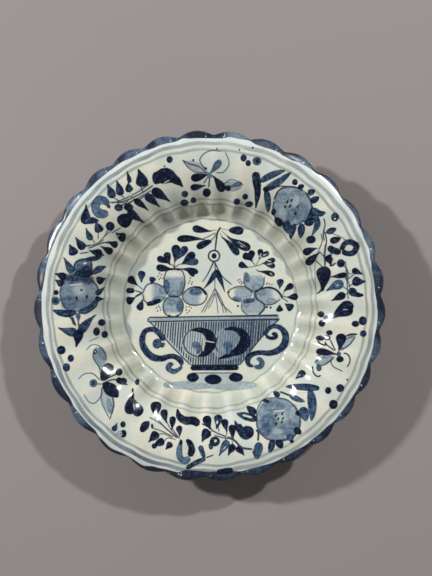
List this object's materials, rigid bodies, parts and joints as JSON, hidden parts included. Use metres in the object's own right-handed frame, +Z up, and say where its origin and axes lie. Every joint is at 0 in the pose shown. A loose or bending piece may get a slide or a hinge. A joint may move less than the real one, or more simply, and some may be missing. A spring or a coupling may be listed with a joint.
{
  "type": "lobed dish",
  "caption": "Shallow round lobed dish in blue and white tin-glazed earthenware, with a flat well, a steep fluted wall, a broad arched rim with a scalloped lip, and a pierced foot ring.",
  "frame": {"origin": "centre of the foot ring's resting face", "axes": "+Z up out of the well, square to the resting face; +Y towards the flowers, the top of the painted design; +X to the right of the design"},
  "size_m": [0.3395, 0.3387, 0.0512],
  "materials": {
    "painted_glaze": "glossy greenish-white tin glaze painted in cobalt blue",
    "foot_glaze": "thinner tin glaze, rubbed back to the buff body at the resting edge"
  },
  "bodies": {
    "root": {"dish": "painted_glaze", "foot_ring": "foot_glaze"}
  },
  "joints": []
}
